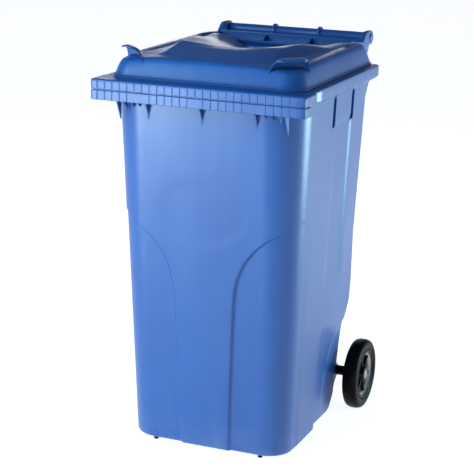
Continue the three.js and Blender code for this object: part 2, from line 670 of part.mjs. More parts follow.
function hub() {
  const bore = AXLE_R + RUNNING_GAP;
  const chamber = CAP_R + GAP;
  const chamberFloor = clipX - GAP;
  const middle = (hubInner + hubOuter) / 2;
  const ring = seatR - HUB_RING;
  const profile = [
    [bore, hubInner], [HUB_BOSS_R, hubInner], [HUB_BOSS_R, middle - HUB_WEB / 2],
    [ring, middle - HUB_WEB / 2], [ring, hubInner], [seatR, hubInner], [seatR, hubOuter], [ring, hubOuter],
    [ring, middle + HUB_WEB / 2], [HUB_BOSS_R, middle + HUB_WEB / 2], [HUB_BOSS_R, hubOuter],
    [chamber, hubOuter], [chamber, chamberFloor], [bore, chamberFloor],
  ];
  return turnedX(profile, AXLE_Y, WHEEL_R, WHEEL_FACETS);
}

function tyre() {
  const inner = seatR + GAP;
  const round = 12;
  const outer = WHEEL_R;
  const profile = [
    [inner, wheelInner + 2], [outer - round, wheelInner], [outer - round * 0.3, wheelInner + round * 0.3],
    [outer, wheelInner + round], [outer, wheelOuter - round],
    [outer - round * 0.3, wheelOuter - round * 0.3], [outer - round, wheelOuter], [inner, wheelOuter - 2],
  ];
  return turnedX(profile, AXLE_Y, WHEEL_R, WHEEL_FACETS);
}

function retainingClip() {
  return ringX(CLIP_R, AXLE_R + GAP, clipX, clipX + CLIP_THICK);
}

function hubCap() {
  const start = hubOuter - CAP_THICK + 1;
  const end = hubOuter + 1;
  const profile = [[0, start], [CAP_R, start], [CAP_R, end - 2], [CAP_R - 2, end], [0, end]];
  const points = profile.map(([radius, x]) => new THREE.Vector2(radius, x));
  const geometry = new THREE.LatheGeometry(points, 16).rotateZ(-Math.PI / 2);
  return solidOf(geometry.translate(0, AXLE_Y, WHEEL_R));
}

// ---- Assembly ----
const bin = new THREE.Group();
bin.add(meshOf("container", container(), blue));
bin.add(meshOf("lid", lid(), blue));
bin.add(meshOf("axle", axle(), steel));
const handed = [
  ["hinge_pin", hingePin(), blue], ["spacer_sleeve", spacerSleeve(), black], ["washer", washer(), steel],
  ["wheel_hub", hub(), black], ["tyre", tyre(), tyreRubber], ["retaining_clip", retainingClip(), steel],
  ["hub_cap", hubCap(), grey],
];
for (const [name, solid, material] of handed) {
  bin.add(meshOf(`${name}_right`, solid, material));
  bin.add(meshOf(`${name}_left`, mirrorX(solid), material));
}
for (const [name, x, y] of feetPlaces()) bin.add(meshOf(name, foot(x, y), black));
bin.position.y = -(BAR_Y + LUG_R) / 2;

export default bin;
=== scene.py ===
"""The looks of a two-wheeled refuse bin of 240 litres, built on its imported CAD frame.

Shapes are worked out in millimetres, with y from the front face of the rim comb and z from the ground.
`to_frame` turns them into the frame's metres.
"""

import json
import math

import bmesh
import bpy
import numpy as np
from mathutils import Matrix, Vector


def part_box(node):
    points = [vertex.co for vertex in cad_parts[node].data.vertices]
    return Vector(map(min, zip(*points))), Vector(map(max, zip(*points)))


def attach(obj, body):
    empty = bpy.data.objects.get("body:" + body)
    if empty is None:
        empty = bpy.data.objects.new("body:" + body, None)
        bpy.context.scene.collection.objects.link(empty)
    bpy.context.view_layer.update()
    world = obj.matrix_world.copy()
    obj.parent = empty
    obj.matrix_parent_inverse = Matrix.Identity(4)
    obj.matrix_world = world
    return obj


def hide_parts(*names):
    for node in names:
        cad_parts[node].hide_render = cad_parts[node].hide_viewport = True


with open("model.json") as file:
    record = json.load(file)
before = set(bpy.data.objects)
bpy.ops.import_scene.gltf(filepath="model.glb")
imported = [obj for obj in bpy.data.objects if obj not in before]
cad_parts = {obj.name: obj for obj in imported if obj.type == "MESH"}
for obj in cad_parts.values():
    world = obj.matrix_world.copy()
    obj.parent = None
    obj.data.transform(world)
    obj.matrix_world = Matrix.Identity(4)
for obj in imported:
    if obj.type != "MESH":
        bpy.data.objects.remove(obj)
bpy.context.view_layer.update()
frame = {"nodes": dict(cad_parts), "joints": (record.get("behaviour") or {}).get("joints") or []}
MM = 0.001
FRONT_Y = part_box("container")[0].y

# ---- Sizes of the container, in millimetres ----
HALF_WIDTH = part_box("container")[1].x / MM
RIM_TOP = 992.0
RIM_DEPTH = 608.0
BASE_Z = 8.0
FOOT_ROUND = 12.0  # rounding where the wall turns under the floor
SKIN = 4.5
COMB_PROUD = 5.0
SIDE_RIM_HALF = HALF_WIDTH - COMB_PROUD
RIM_OVERHANG = 25.0
FLARE_HEIGHT = 17.0
WALL_TOP = RIM_TOP - 27.0 - FLARE_HEIGHT
SIDE_DRAFT = 0.0384
FRONT_DRAFT = 0.05
REAR_DRAFT = 0.042
COMB_DEPTH = 43.0
COMB_HEIGHT = 52.7
COMB_PLATE = 5.0
COMB_CORNER = 7.0
COMB_EDGE = 5.0
COMB_RETURN = 72.0
COMB_RETURN_FLAT = 34.0
BAND_GROOVE = 4.0
GROOVE_DEPTH = 3.4
TEETH = 28
PAD_SPACING = 148.0
PAD_HALF = 20.0
CORNER_TOP = 95.0
CORNER_BASE = 70.0
REAR_CORNER = 26.0
RECESS = 7.0
RECESS_TOP = 658.0
RECESS_EDGE = 9.0
CHANNEL_DEPTH = 4.0
HAUNCH_Z = 311.0
HAUNCH_STEP = 22.0
HAUNCH_NARROW = 12.0
ARCH_RADIUS = 174.0
ARCH_DEPTH = 4.0
SLOT_WIDTH = 21.0
SLOT_DEPTH = 11.0
SLOT_LOW = 863.0
SLOT_HIGH = 946.0
SLOT_Y = (305.0, 451.0)
SIDE_START = 190.0  # depth where the front's points end and the side's columns begin
OVAL_HALF = 120.0
OVAL_HALF_HEIGHT = 87.0
OVAL_Z = 662.0
OVAL_SINK = 0.6
GUSSET_THICK = 3.6

# ---- Handle and hinge, from the frame ----
hinge = next(joint for joint in frame["joints"] if joint["name"] == "lid_hinge")
BAR_Y = (hinge["pos_m"][1] - FRONT_Y) / MM
BAR_Z = hinge["pos_m"][2] / MM
BAR_RADIUS = 14.0
BAR_HALF = 206.0
LUG_RADIUS = 20.0
RING_RADIUS = 20.0
BRACKET_THICK = 10.0
BRACKET_X = (68.0, 198.0)
BRACKET_LOW = 852.0
BRACKET_HIGH = 983.0
PIN_BORE = 8.3
PIN_DEPTH = 25.0

# ---- Lid ----
LID_SKIN = 3.5
LID_HALF = HALF_WIDTH - 27.0
LID_FRONT = 42.0
LID_REAR = RIM_DEPTH + 7.0
LID_GAP = 0.3
PANEL_RISE = 24.0
RIDGE_Y = 222.0
RIDGE_DIP = 7.0
SHOULDER = 56.0
VALLEY_LOW = 8.0
CREASE = 0.8  # rounding where the saddle cuts the panel
CORNER_DROP = 8.0
GUTTER_DEPTH = 3.5
GUTTER_X = 207.0
GRIP_INSET = 58.0
GRIP_LIFT = 35.0
WEB_TOP = 56.0
WEB_REACH = 44.0
ARM_THICK = 13.0
ARM_INNER = BAR_HALF + 1.5

# ---- Wheels, from the frame ----
tyre_low, tyre_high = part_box("tyre_right")
WHEEL_RADIUS = (tyre_high.z - tyre_low.z) / 2 / MM
AXLE_Y = ((tyre_low.y + tyre_high.y) / 2 - FRONT_Y) / MM
TYRE_INNER_X = tyre_low.x / MM
TYRE_OUTER_X = tyre_high.x / MM
TYRE_WALL = 29.7  # thickness of the rubber outside the hub
AXLE_BORE = 10.3
CARRIER_X = (162.0, 200.0)
CARRIER_PLATE = 5.0
CARRIER_RADIUS = 17.0
CARRIER_REACH = 52.0
# radius of the pale ring painted on the hubs as a highlight
PAINTED_HIGHLIGHT_RING_RADIUS = 59.5


# ---- Small helpers ----
def to_frame(points):
    return np.asarray(points, float) * MM + np.array([0.0, FRONT_Y, 0.0])


def lerp(a, b, t):
    return a + (b - a) * t


def ramp(value, start, end):
    return np.clip((value - start) / (end - start), 0.0, 1.0)


def smooth(value, start, end):
    t = ramp(value, start, end)
    return t * t * (3 - 2 * t)


def soft_ramp(value, start, end, radius):
    """A straight ramp from 0 to 1 whose two bends are rounded over about the radius."""
    low = np.sqrt((value - start) ** 2 + radius**2)
    high = np.sqrt((value - end) ** 2 + radius**2)
    return (low - high) / (2 * (end - start)) + 0.5


def arc(cx, cy, radius, start, end, steps):
    angles = np.radians(np.linspace(start, end, steps + 1))
    return [(cx + radius * math.cos(a), cy + radius * math.sin(a)) for a in angles]


def mesh_object(name, points, faces):
    """A mesh object in the frame from points in millimetres."""
    mesh = bpy.data.meshes.new(name)
    mesh.from_pydata(to_frame(points).tolist(), [], [list(face) for face in faces])
    mesh.validate()
    obj = bpy.data.objects.new(name, mesh)
    bpy.context.scene.collection.objects.link(obj)
    return obj


def ring_faces(levels, count):
    """Quads between closed rings, low ring first and each counter-clockwise seen from above."""
    i = np.arange(count)
    j = (i + 1) % count
    return [
        (low + a, low + b, low + count + b, low + count + a)
        for low in range(0, (levels - 1) * count, count)
        for a, b in zip(i, j)
    ]


def loft(name, rings):
    """A closed body through rings of points, its two ends closed by one face each."""
    rings = np.asarray(rings, float)
    levels, count = rings.shape[:2]
    faces = ring_faces(levels, count)
    faces.append(tuple(range(count))[::-1])
    faces.append(tuple(range((levels - 1) * count, levels * count)))
    return mesh_object(name, rings.reshape(-1, 3), faces)


def prism_x(name, outline, x0, x1):
    """A prism along X from a counter-clockwise outline of (y, z) points."""
    rings = [[(x, y, z) for y, z in outline] for x in (x0, x1)]
    return loft(name, rings)


def prism_z(name, outline, z0, z1):
    return loft(name, [[(x, y, z) for x, y in outline] for z in (z0, z1)])


def lathe_x(name, profile, y, z, segments=72, closed=False):
    """A turned piece about the line along X through (y, z), from (radius, x) points."""
    points, faces = [], []
    angles = np.linspace(0, 2 * math.pi, segments, endpoint=False)
    for radius, x in profile:
        points += [(x, y + radius * math.cos(a), z + radius * math.sin(a)) for a in angles]
    rows = len(profile)
    for row in range(rows if closed else rows - 1):
        low, high = row * segments, (row + 1) % rows * segments
        for i in range(segments):
            j = (i + 1) % segments
            faces.append((low + i, low + j, high + j, high + i))
    if not closed:
        faces.append(tuple(range(segments))[::-1])
        faces.append(tuple(range((rows - 1) * segments, rows * segments)))
    obj = mesh_object(name, points, faces)
    face_outward(obj)
    return obj


def face_outward(obj):
    work = bmesh.new()
    work.from_mesh(obj.data)
    bmesh.ops.remove_doubles(work, verts=work.verts, dist=1e-6)
    bmesh.ops.recalc_face_normals(work, faces=work.faces)
    work.to_mesh(obj.data)
    work.free()
    return obj


def apply_modifiers(obj):
    bpy.context.view_layer.update()
    graph = bpy.context.evaluated_depsgraph_get()
    mesh = bpy.data.meshes.new_from_object(obj.evaluated_get(graph))
    obj.modifiers.clear()
    obj.data = mesh
    return obj


def combine(obj, others, operation):
    """Joins the others to obj, or cuts them out of it, and removes them."""
    for other in others:
        modifier = obj.modifiers.new("combine", "BOOLEAN")
        modifier.operation = operation
        modifier.solver = "MANIFOLD"
        modifier.object = other
    apply_modifiers(obj)
    for other in others:
        bpy.data.objects.remove(other)
    return obj


def bevelled(obj, width, segments=2):
    modifier = obj.modifiers.new("bevel", "BEVEL")
    modifier.width = width * MM
    modifier.segments = segments
    modifier.limit_method = "ANGLE"
    modifier.angle_limit = math.radians(35)
    return apply_modifiers(face_outward(obj))


def mirrored(obj):
    """A copy of obj on the other side of the bin."""
    copy = bpy.data.objects.new(obj.name + "_mirror", obj.data.copy())
    copy.data.transform(Matrix.Scale(-1, 4, (1, 0, 0)))
    copy.data.flip_normals()
    bpy.context.scene.collection.objects.link(copy)
    return copy


def both_sides(objects):
    return list(objects) + [mirrored(obj) for obj in objects]


def finish_piece(obj, body, nodes, material, angle=32):
    """Gives the piece its shading, material and place in the frame."""
    for face in obj.data.polygons:
        face.use_smooth = True
    obj.data.set_sharp_from_angle(angle=math.radians(angle))
    obj.data.materials.clear()
    obj.data.materials.append(material)
    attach(obj, body)
    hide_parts(*nodes)
    return obj


# ---- Materials ----
def socket(node, name, value):
    node.inputs[name].default_value = value


class Nodes:
    """A material's node tree, with short ways to add what the finishes share."""

    def __init__(self, name):
        self.material = bpy.data.materials.new(name)
        self.material.use_nodes = True
        self.tree = self.material.node_tree
        self.shader = self.tree.nodes["Principled BSDF"]
        self.place = self.tree.nodes.new("ShaderNodeTexCoord").outputs["Object"]

    def link(self, output, target):
        self.tree.links.new(output, target)

    def add(self, kind, **values):
        node = self.tree.nodes.new(kind)
        for name, value in values.items():
            node.inputs[name.replace("_", " ")].default_value = value
        return node

    def noise(self, scale, detail=3.0, stretch=(1, 1, 1), roughness=0.5):
        mapping = self.add("ShaderNodeMapping")
        mapping.inputs["Scale"].default_value = stretch
        self.link(self.place, mapping.inputs["Vector"])
        node = self.add("ShaderNodeTexNoise", Scale=scale, Detail=detail, Roughness=roughness)
        self.link(mapping.outputs["Vector"], node.inputs["Vector"])
        return node.outputs["Fac"]

    def remap(self, value, low, high, to_low, to_high):
        node = self.add("ShaderNodeMapRange")
        self.link(value, node.inputs["Value"])
        for name, number in zip(("From Min", "From Max", "To Min", "To Max"), (low, high, to_low, to_high)):
            node.inputs[name].default_value = number
        return node.outputs["Result"]

    def mix(self, share, a, b):
        node = self.tree.nodes.new("ShaderNodeMix")
        node.data_type = "RGBA"
        self.link(share, node.inputs[0])
        for index, value in ((6, a), (7, b)):
            if isinstance(value, tuple):
                node.inputs[index].default_value = (*value, 1.0)
            else:
                self.link(value, node.inputs[index])
        return node.outputs[2]

    def math(self, operation, a, b):
        node = self.tree.nodes.new("ShaderNodeMath")
        node.operation = operation
        for index, value in enumerate((a, b)):
            if isinstance(value, (int, float)):
                node.inputs[index].default_value = value
            else:
                self.link(value, node.inputs[index])
        return node.outputs[0]

    def height(self):
        split = self.add("ShaderNodeSeparateXYZ")
        self.link(self.place, split.inputs["Vector"])
        return split.outputs["Z"]

    def wheel_ring(self, radius, half_width):
        """1 on a thin ring about the axle's line and 0 elsewhere, in metres."""
        split = self.add("ShaderNodeSeparateXYZ")
        self.link(self.place, split.inputs["Vector"])
        behind = self.math("SUBTRACT", split.outputs["Y"], FRONT_Y + AXLE_Y * MM)
        above = self.math("SUBTRACT", split.outputs["Z"], WHEEL_RADIUS * MM)
        squares = [self.math("MULTIPLY", offset, offset) for offset in (behind, above)]
        away = self.math("POWER", self.math("ADD", *squares), 0.5)
        off_ring = self.math("ABSOLUTE", self.math("SUBTRACT", away, radius), 0.0)
        return self.remap(off_ring, half_width * 0.6, half_width, 1.0, 0.0)

    def bump(self, value, distance, strength, normal=None):
        node = self.add("ShaderNodeBump", Distance=distance, Strength=strength)
        self.link(value, node.inputs["Height"])
        if normal is not None:
            self.link(normal, node.inputs["Normal"])
        return node.outputs["Normal"]

    def rounding(self, radius, samples=4):
        node = self.add("ShaderNodeBevel", Radius=radius)
        node.samples = samples
        return node.outputs["Normal"]


def blue_plastic():
    """Blue polyethylene as moulded: slow colour drift, faint upright smears and dust near the ground."""
    nodes = Nodes("blue_polyethylene")
    base, deep, chalk = (0.009, 0.073, 0.272), (0.007, 0.062, 0.245), (0.06, 0.18, 0.37)
    drift = nodes.noise(5.0, 4.0, (1, 1, 0.5))
    colour = nodes.mix(nodes.remap(drift, 0.35, 0.65, 0.0, 1.0), base, deep)
    smear = nodes.noise(15.0, 2.0, (1.8, 1.8, 0.16), 0.4)
    colour = nodes.mix(nodes.remap(smear, 0.45, 0.8, 0.0, 0.07), colour, chalk)
    patch = nodes.noise(14.0, 6.0, (1, 1, 1), 0.7)
    near_ground = nodes.remap(nodes.height(), 0.0, 0.1, 0.16, 0.0)
    dust = nodes.math("MULTIPLY", nodes.remap(patch, 0.42, 0.66, 0.0, 1.0), near_ground)
    colour = nodes.mix(dust, colour, (0.3, 0.31, 0.33))
    nodes.link(colour, nodes.shader.inputs["Base Color"])
    matt = nodes.math("ADD", nodes.remap(drift, 0.3, 0.7, 0.33, 0.39), nodes.math("MULTIPLY", dust, 0.5))
    nodes.link(matt, nodes.shader.inputs["Roughness"])
    peel = nodes.bump(nodes.noise(420.0, 2.0), 0.00022, 0.35, nodes.rounding(0.0014))
    sink = nodes.bump(nodes.noise(9.0, 2.0, (1, 1, 0.45)), 0.004, 0.22, peel)
    nodes.link(sink, nodes.shader.inputs["Normal"])
    socket(nodes.shader, "IOR", 1.52)
    socket(nodes.shader, "Specular IOR Level", 0.42)
    return nodes.material


def black_plastic():
    """Smooth black moulding, with a thin pale ring painted round the wheels' centres as a highlight."""
    nodes = Nodes("black_moulding")
    speck = nodes.noise(30.0, 5.0)
    colour = nodes.mix(nodes.remap(speck, 0.4, 0.7, 0.0, 1.0), (0.003, 0.003, 0.003), (0.007, 0.007, 0.007))
    # painted highlight: a thin pale grey ring round the axle, standing in for light caught by the hub's
    # bead
    colour = nodes.mix(nodes.wheel_ring(PAINTED_HIGHLIGHT_RING_RADIUS * MM, 0.0015), colour, (0.6, 0.6, 0.6))
    nodes.link(colour, nodes.shader.inputs["Base Color"])
    nodes.link(nodes.remap(speck, 0.3, 0.7, 0.24, 0.38), nodes.shader.inputs["Roughness"])
    grain = nodes.bump(nodes.noise(700.0, 2.0), 0.0002, 0.35, nodes.rounding(0.0008))
    nodes.link(grain, nodes.shader.inputs["Normal"])
    socket(nodes.shader, "Specular IOR Level", 0.1)
    return nodes.material


def tyre_rubber():
    """Solid rubber, a little unevenly worn."""
    nodes = Nodes("solid_rubber")
    worn = nodes.noise(38.0, 6.0, (1, 1, 1), 0.65)
    colour = nodes.mix(nodes.remap(worn, 0.45, 0.75, 0.0, 1.0), (0.003, 0.003, 0.003), (0.01, 0.01, 0.01))
    nodes.link(colour, nodes.shader.inputs["Base Color"])
    nodes.link(nodes.remap(worn, 0.35, 0.7, 0.34, 0.46), nodes.shader.inputs["Roughness"])
    socket(nodes.shader, "Specular IOR Level", 0.05)
    grain = nodes.bump(nodes.noise(520.0, 3.0), 0.0003, 0.5)
    nodes.link(grain, nodes.shader.inputs["Normal"])
    return nodes.material


def grey_plastic():
    nodes = Nodes("grey_cap")
    speck = nodes.noise(60.0, 4.0)
    colour = nodes.mix(nodes.remap(speck, 0.35, 0.7, 0.0, 1.0), (0.2, 0.2, 0.21), (0.27, 0.27, 0.28))
    nodes.link(colour, nodes.shader.inputs["Base Color"])
    nodes.link(nodes.remap(speck, 0.3, 0.7, 0.36, 0.5), nodes.shader.inputs["Roughness"])
    nodes.link(nodes.bump(nodes.noise(900.0), 0.0001, 0.3), nodes.shader.inputs["Normal"])
    return nodes.material


def zinc_steel():
    nodes = Nodes("zinc_plated_steel")
    socket(nodes.shader, "Metallic", 1.0)
    bloom = nodes.noise(120.0, 5.0)
    colour = nodes.mix(nodes.remap(bloom, 0.4, 0.7, 0.0, 1.0), (0.6, 0.61, 0.62), (0.42, 0.41, 0.4))
    nodes.link(colour, nodes.shader.inputs["Base Color"])
    nodes.link(nodes.remap(bloom, 0.3, 0.7, 0.25, 0.45), nodes.shader.inputs["Roughness"])
    turned = nodes.noise(60.0, 2.0, (30, 1, 1))
    nodes.link(nodes.bump(turned, 0.0001, 0.3), nodes.shader.inputs["Normal"])
    return nodes.material


MATERIALS = {
    "blue_plastic": blue_plastic(),
    "black_plastic": black_plastic(),
    "tyre_rubber": tyre_rubber(),
    "grey_plastic": grey_plastic(),
    "steel": zinc_steel(),
}


# ---- Container walls ----
def plain_half(z):
    return SIDE_RIM_HALF - RIM_OVERHANG - (WALL_TOP - z) * SIDE_DRAFT


def wall_half(z):
    flare = smooth(z, WALL_TOP - 4, WALL_TOP + FLARE_HEIGHT)
    return lerp(plain_half(min(z, WALL_TOP)), SIDE_RIM_HALF, flare)


def wall_front(z):
    return COMB_DEPTH + (WALL_TOP - min(z, WALL_TOP)) * FRONT_DRAFT


def wall_rear(z):
    """The rear wall leans in downwards, steps in above the wheels and turns under at the heel."""
    plain = RIM_DEPTH - 3 - (WALL_TOP - min(z, WALL_TOP)) * REAR_DRAFT
    plain += 3 * ramp(z, WALL_TOP, WALL_TOP + FLARE_HEIGHT)
    heel = np.interp(z, [BASE_Z, 15, 27, 52, 80], [68, 50, 31, 5, 0])
    haunch = np.interp(z - HAUNCH_Z, [-110, -20, 0, 18], [1, 0.55, 0.35, 0])
    return plain - heel - HAUNCH_STEP * haunch


def front_corner(z):
    return lerp(CORNER_BASE, CORNER_TOP, z / RIM_TOP)


def panel_edge(z):
    """Distance round the front from its middle to the edge of the raised funnel panel."""
    heights = [0, 200, 370, 430, 470, 502, 541, 577, 602, 618, 635, 648, 656]
    reach = [65, 70, 77, 80, 84, 92, 110, 138, 166, 192, 232, 272, 305]
    return float(np.interp(z, heights, reach))


def side_steps(last):
    """Places of the columns along the side, close together at the steps in it."""
    stops = [(232, 8), (300, 8), (322, 6), (338, 8), (356, 4), (420, 8), (444, 4), (458, 6), (500, 8)]
    stops.append((last, 5))
    places = [SIDE_START]
    for stop, count in stops:
        target = min(stop, last)
        places += list(np.linspace(places[-1], target, count + 1)[1:])
    return np.array(places)


def side_sink(y, z):
    """How far the side wall lies inside its plain surface."""
    channel = CHANNEL_DEPTH * ramp(z, 400, 490) * (1 - smooth(z, 860, 882))
    channel = channel * soft_ramp(y, 316, 345, 3.0) * (1 - soft_ramp(y, 440, 456, 4.0))
    below_haunch = 1 - smooth(z, HAUNCH_Z - 60, HAUNCH_Z + 10)
    narrow = HAUNCH_NARROW * lerp(1, 0.45, ramp(z, 0, HAUNCH_Z)) * below_haunch
    narrow = narrow * soft_ramp(y, 322, 334, 1.5)
    away = np.hypot(y - AXLE_Y, z - WHEEL_RADIUS)
    arch = ARCH_DEPTH * (1 - soft_ramp(away, ARCH_RADIUS - 4, ARCH_RADIUS + 4, 2.0)) * ramp(z, 20, 60)
    lean = 8 * ramp(y, 460, 600) * ramp(z, 380, 520) * (1 - smooth(z, 900, WALL_TOP))
    return np.maximum(channel, narrow) + arch + lean


def half_ring(z, inset, half_at):
    """The right half of the plan at height z, from the middle of the front round to the rear."""
    half = half_at(z) - inset
    front = wall_front(z) + inset
    rear = wall_rear(z) - inset
    corner = front_corner(z) - inset / 2
    straight = half - corner
    bend = corner * math.pi / 2
    edge = panel_edge(z)
    corner_end = straight + bend
    side_start = SIDE_START - front - corner
    final = corner_end + side_start
    walk = np.concatenate(
        [
            np.linspace(0, edge, 34),
            edge + RECESS_EDGE * np.array([0.15, 0.3, 0.45, 0.6, 0.75, 0.9]),
            np.linspace(edge + RECESS_EDGE, max(final, edge + RECESS_EDGE + 20), 44),
        ]
    )
    walk = np.minimum(walk, np.linspace(final - 4, final, len(walk)))
    turn = np.clip((walk - straight) / corner, 0, math.pi / 2)
    normal = np.stack([np.sin(turn), -np.cos(turn)], 1)
    x = np.where(walk < straight, walk, straight + corner * np.sin(turn))
    y = front + corner * (1 - np.cos(turn)) + np.maximum(walk - corner_end, 0)
    fade = (1 - 0.7 * smooth(walk, straight, corner_end)) * (1 - smooth(walk, corner_end, corner_end + 42))
    sunk = RECESS * smooth(walk, edge, edge + RECESS_EDGE) * fade
    sunk = sunk * (1 - smooth(z, RECESS_TOP - 12, RECESS_TOP))
    oval = np.hypot(walk / OVAL_HALF, (z - OVAL_Z) / OVAL_HALF_HEIGHT)
    sunk = sunk + OVAL_SINK * (1 - smooth(oval, 0.84, 1.1))
    points = np.stack([x, y], 1) - normal * sunk[:, None]
    last = rear - REAR_CORNER
    side_y = side_steps(max(last, 200.0))[1:]
    sink = side_sink(side_y, z)
    side = np.stack([half - sink, side_y], 1)
    rear_x = side[-1, 0]
    turned = arc(rear_x - REAR_CORNER, last, REAR_CORNER, 0, 90, 8)[1:]
    back = [(t * (rear_x - REAR_CORNER), rear) for t in np.linspace(1, 0, 7)[1:]]
    return np.concatenate([points, side, np.array(turned), np.array(back)])


def ring_at(z, inset=0.0, half_at=wall_half, height=None):
    right = half_ring(z, inset, half_at)
    left = right[1:-1][::-1] * np.array([-1, 1])
    plan = np.concatenate([right, left])
    level = np.full((len(plan), 1), z if height is None else height)
    return np.concatenate([plan, level], 1)


def wall_levels():
    spans = [
        (20, 52, 5), (52, 290, 17), (290, 332, 12), (332, 440, 6), (440, 560, 14), (560, 665, 26),
        (665, 752, 8), (752, 858, 5), (858, 884, 6), (884, 940, 3), (940, 967, 9), (967, 990, 3),
    ]
    return np.concatenate([np.linspace(a, b, n, endpoint=False) for a, b, n in spans])


def outer_wall():
    turns = np.linspace(0, 1.45, 6)
    foot = [(BASE_Z + FOOT_ROUND * (1 - math.cos(t)), FOOT_ROUND * (1 - math.sin(t))) for t in turns]
    rings = [ring_at(z, inset) for z, inset in foot]
    rings += [ring_at(z) for z in wall_levels()]
    rings += [ring_at(990.2), ring_at(991.4, 0.5), ring_at(RIM_TOP, 1.6)]
    return loft("container_body", rings)


def inner_wall():
    floor = BASE_Z + SKIN
    rings = [ring_at(floor, SKIN + 9, plain_half), ring_at(floor + 6, SKIN, plain_half)]
    rings += [ring_at(z, SKIN, plain_half) for z in wall_levels() if floor + 7 < z < 985]
    rings += [ring_at(RIM_TOP - 2, SKIN, plain_half), ring_at(RIM_TOP - 2, SKIN, plain_half, RIM_TOP + 20)]
    return loft("inside", rings)


def rim_pockets():
    """The hollows under the side rim, with a rib left between each two."""
    start, pockets, rib = COMB_RETURN + 40, 5, 5.0
    pitch = (RIM_DEPTH - 30 - start) / pockets
    inner = plain_half(RIM_TOP) + 1
    outer = SIDE_RIM_HALF - SKIN
    made = []
    for i in range(pockets):
        y = start + i * pitch
        end = y + pitch - rib
        outline = [(inner, y), (outer, y), (outer, end), (inner, end)]
        made.append(prism_z("pocket", outline, WALL_TOP - 5, RIM_TOP - SKIN))
    return both_sides(made)


# ---- Rim comb ----
COMB_LOW = RIM_TOP - COMB_HEIGHT


def comb_path():
    """Places round the comb's outer face from left to right, as (x, y, normal x, normal y)."""
    half = HALF_WIDTH
    pitch = 2 * half / TEETH
    groove = [-1.5, -0.9, 0.0, 0.9, 1.5]
    front = [-half + COMB_CORNER]
    for i in range(TEETH + 1):
        front += [i * pitch - half + g for g in groove]
    front = [x for x in front if abs(x) <= half - COMB_CORNER]
    path = [(x, 0.0, 0.0, -1.0) for x in sorted(set(front))]
    bend = [(math.sin(a), math.cos(a)) for a in np.linspace(0, math.pi / 2, 7)[1:]]
    right = [
        (half - COMB_CORNER + COMB_CORNER * s, COMB_CORNER - COMB_CORNER * c, s, -c) for s, c in bend
    ]
    right += [(half, y, 1.0, 0.0) for y in np.linspace(COMB_CORNER, COMB_RETURN, 12)[1:]]
    left = [(-x, y, -nx, ny) for x, y, nx, ny in right][::-1]
    return np.array(left + path + right)


def comb_sink(x, y, z):
    """How deep the comb's pattern is cut at a place on its face."""
    pitch = 2 * HALF_WIDTH / TEETH
    middle = RIM_TOP - COMB_HEIGHT / 2
    off_line = np.abs((x + HALF_WIDTH + pitch / 2) % pitch - pitch / 2)
    upright = 1.0 * (1 - smooth(off_line, 0.5, 1.5)) * (y < COMB_CORNER)
    in_pad = np.min([np.abs(x - pad) for pad in (-PAD_SPACING, 0, PAD_SPACING)], axis=0) < PAD_HALF
    upright = np.where(in_pad & (z < middle), 0.0, upright)
    upright = upright * (z < RIM_TOP - COMB_EDGE + 1) * (z > COMB_LOW + 1)
    across = GROOVE_DEPTH * (1 - smooth(abs(z - middle), BAND_GROOVE / 2 - 0.9, BAND_GROOVE / 2 + 0.3))
    across = across * (y < COMB_RETURN_FLAT)
    over = ramp(z, RIM_TOP - COMB_EDGE, RIM_TOP)
    rounding = 1.2 * (1 - ramp(z, COMB_LOW, COMB_LOW + 1.2))
    rounding = rounding + COMB_EDGE * 0.92 * (1 - np.sqrt(1 - 0.999 * over**2))
    crown = 0.5 * (1 - np.cos(off_line / pitch * 2 * math.pi)) * 0.35 * (y < COMB_CORNER)
    return np.maximum(np.maximum(upright, across), rounding) - crown + 0.35


def comb_strip():
    """The comb's plate with its two bands of raised squares."""
    path = comb_path()
    middle = RIM_TOP - COMB_HEIGHT / 2
    step = [-2.4, -1.9, -1.1, 1.1, 1.9, 2.4]
    levels = sorted(
        [COMB_LOW, COMB_LOW + 0.6, COMB_LOW + 1.2, COMB_LOW + 8, COMB_LOW + 16, RIM_TOP - 16, RIM_TOP - 8]
        + [middle + s for s in step]
        + [RIM_TOP - COMB_EDGE * (1 - math.sin(a)) for a in np.radians([0, 12, 16, 30, 45, 60, 75, 90])]
    )
    rings = []
    for z in levels:
        sink = comb_sink(path[:, 0], path[:, 1], z)
        outside = path[:, :2] - path[:, 2:] * sink[:, None]
        inside = (path[:, :2] - path[:, 2:] * (COMB_PLATE + 1))[::-1]
        plan = np.concatenate([outside, inside])
        rings.append(np.concatenate([plan, np.full((len(plan), 1), z)], 1))
    return loft("comb", rings)


def comb_return_cut():
    lift = WALL_TOP + FLARE_HEIGHT - COMB_LOW
    curve = arc(COMB_RETURN_FLAT, COMB_LOW + lift, lift, -20, -90, 12)
    outline = [(COMB_RETURN + 40, COMB_LOW + lift)] + curve
    outline += [(COMB_RETURN_FLAT, COMB_LOW - 1), (COMB_RETURN + 40, COMB_LOW - 1)]
    return prism_x("cut", outline, SIDE_RIM_HALF - RIM_OVERHANG - 10, HALF_WIDTH + 1)


def comb_top():
    half = SIDE_RIM_HALF - 0.4
    corner = [(x, y) for x, y in arc(half - COMB_CORNER, COMB_CORNER + COMB_EDGE, COMB_CORNER, -90, 0, 8)]
    right = corner + [(half, COMB_RETURN + 60)]
    outline = right + [(-x, y) for x, y in right[::-1]]
    return bevelled(prism_z("comb_top", outline, RIM_TOP - SKIN, RIM_TOP), 1.4, 3)


